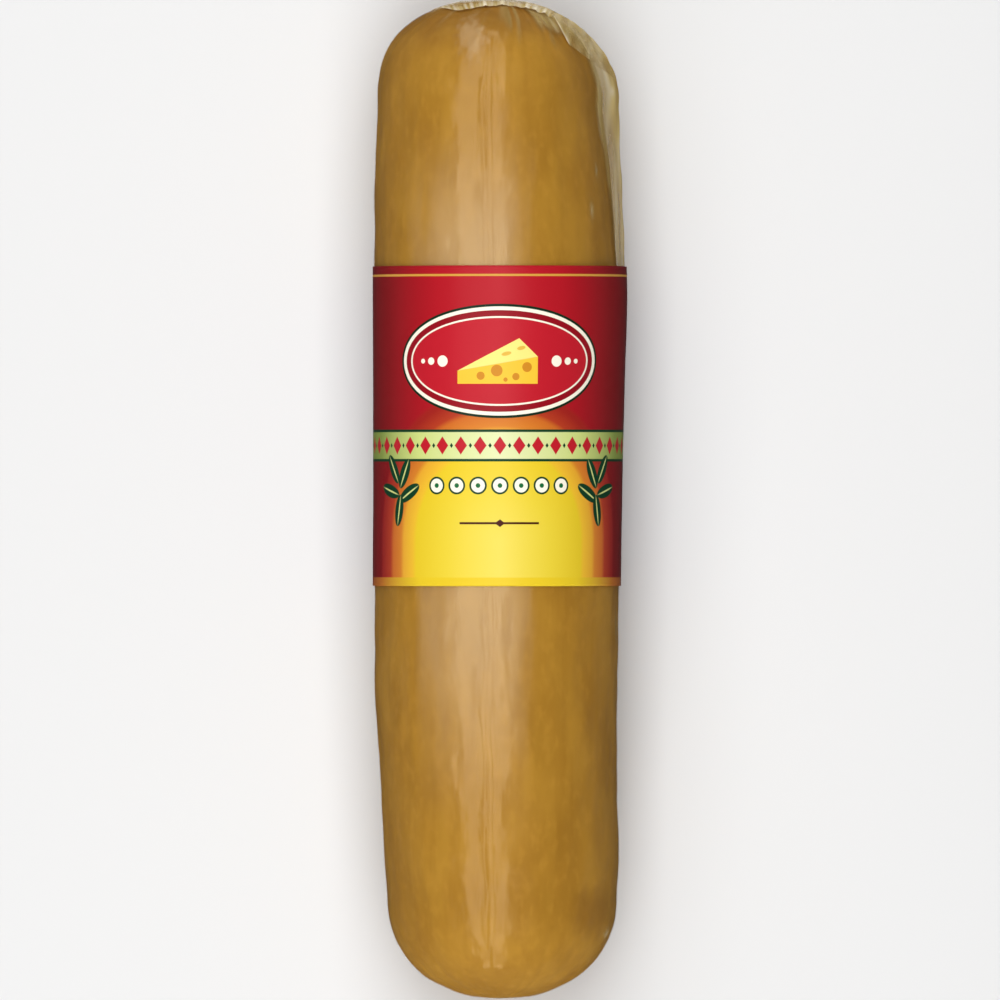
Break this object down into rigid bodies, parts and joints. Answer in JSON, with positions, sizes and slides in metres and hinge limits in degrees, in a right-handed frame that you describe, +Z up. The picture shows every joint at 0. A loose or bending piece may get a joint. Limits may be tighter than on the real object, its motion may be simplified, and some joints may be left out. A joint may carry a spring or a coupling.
{
  "type": "provolone cheese",
  "caption": "Whole smoked provolone log with rounded ends, shrink-wrapped in clear film, with a printed label sleeve round its barrel, lying on its side with the label up.",
  "frame": {"origin": "on the surface the log lies on, under the middle of its length and width", "axes": "+Z up, out of the front of the label; +Y along the log towards its blunter end; +X to the right of someone who looks down on the label with +Y ahead"},
  "size_m": [0.1178, 0.463, 0.1165],
  "materials": {
    "cheese": "smoked golden-brown rind seen through tight clear film, soft sheen",
    "film": "clear glossy shrink film with fine creases",
    "label": "glossy printed plastic sleeve, red over yellow"
  },
  "bodies": {
    "root": {"wrapped_cheese": "cheese", "label_sleeve": "label"}
  },
  "joints": []
}
